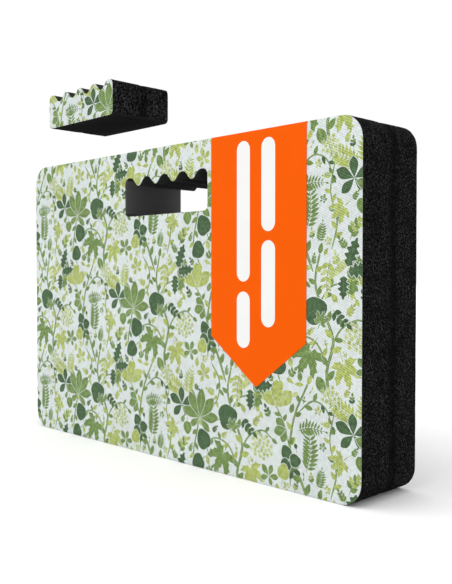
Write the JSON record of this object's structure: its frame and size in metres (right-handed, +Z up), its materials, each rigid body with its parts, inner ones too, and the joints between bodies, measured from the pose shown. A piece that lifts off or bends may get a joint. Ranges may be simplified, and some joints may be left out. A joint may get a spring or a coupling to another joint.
{
  "type": "kneeling pad",
  "caption": "Thick rectangular foam kneeling pad with printed fabric face, scalloped handle hole, pointed label and the loose block cut from the hole.",
  "frame": {"origin": "middle of the bottom of the whole object's box: the pad stands on its long edge on the plane z = 0", "axes": "+X along the long side, to the right as seen from the printed face; +Y from the printed face to the back; +Z up, towards the handle hole"},
  "size_m": [0.432, 0.0704, 0.3541],
  "materials": {
    "printed_fabric": "woven, printed with green leaves on a pale ground",
    "glue": "matte film",
    "foam": "matte, fine cut cells",
    "foam_bond": "matte, smooth skin",
    "label": "satin film"
  },
  "bodies": {
    "pad": {"face_fabric": "printed_fabric", "fabric_glue_film": "glue", "front_foam_layer": "foam", "foam_bond_layer": "foam_bond", "back_foam_layer": "foam", "banner_label": "label"},
    "handle_cutout": {"cutout_face_fabric": "printed_fabric", "cutout_fabric_glue_film": "glue", "cutout_front_foam_layer": "foam", "cutout_foam_bond_layer": "foam_bond", "cutout_back_foam_layer": "foam"}
  },
  "joints": [
    {"name": "cutout_push", "type": "slide", "parent": "pad", "child": "handle_cutout", "axis": [0, 1, 0], "range_m": [-0.071, 0.071]}
  ]
}
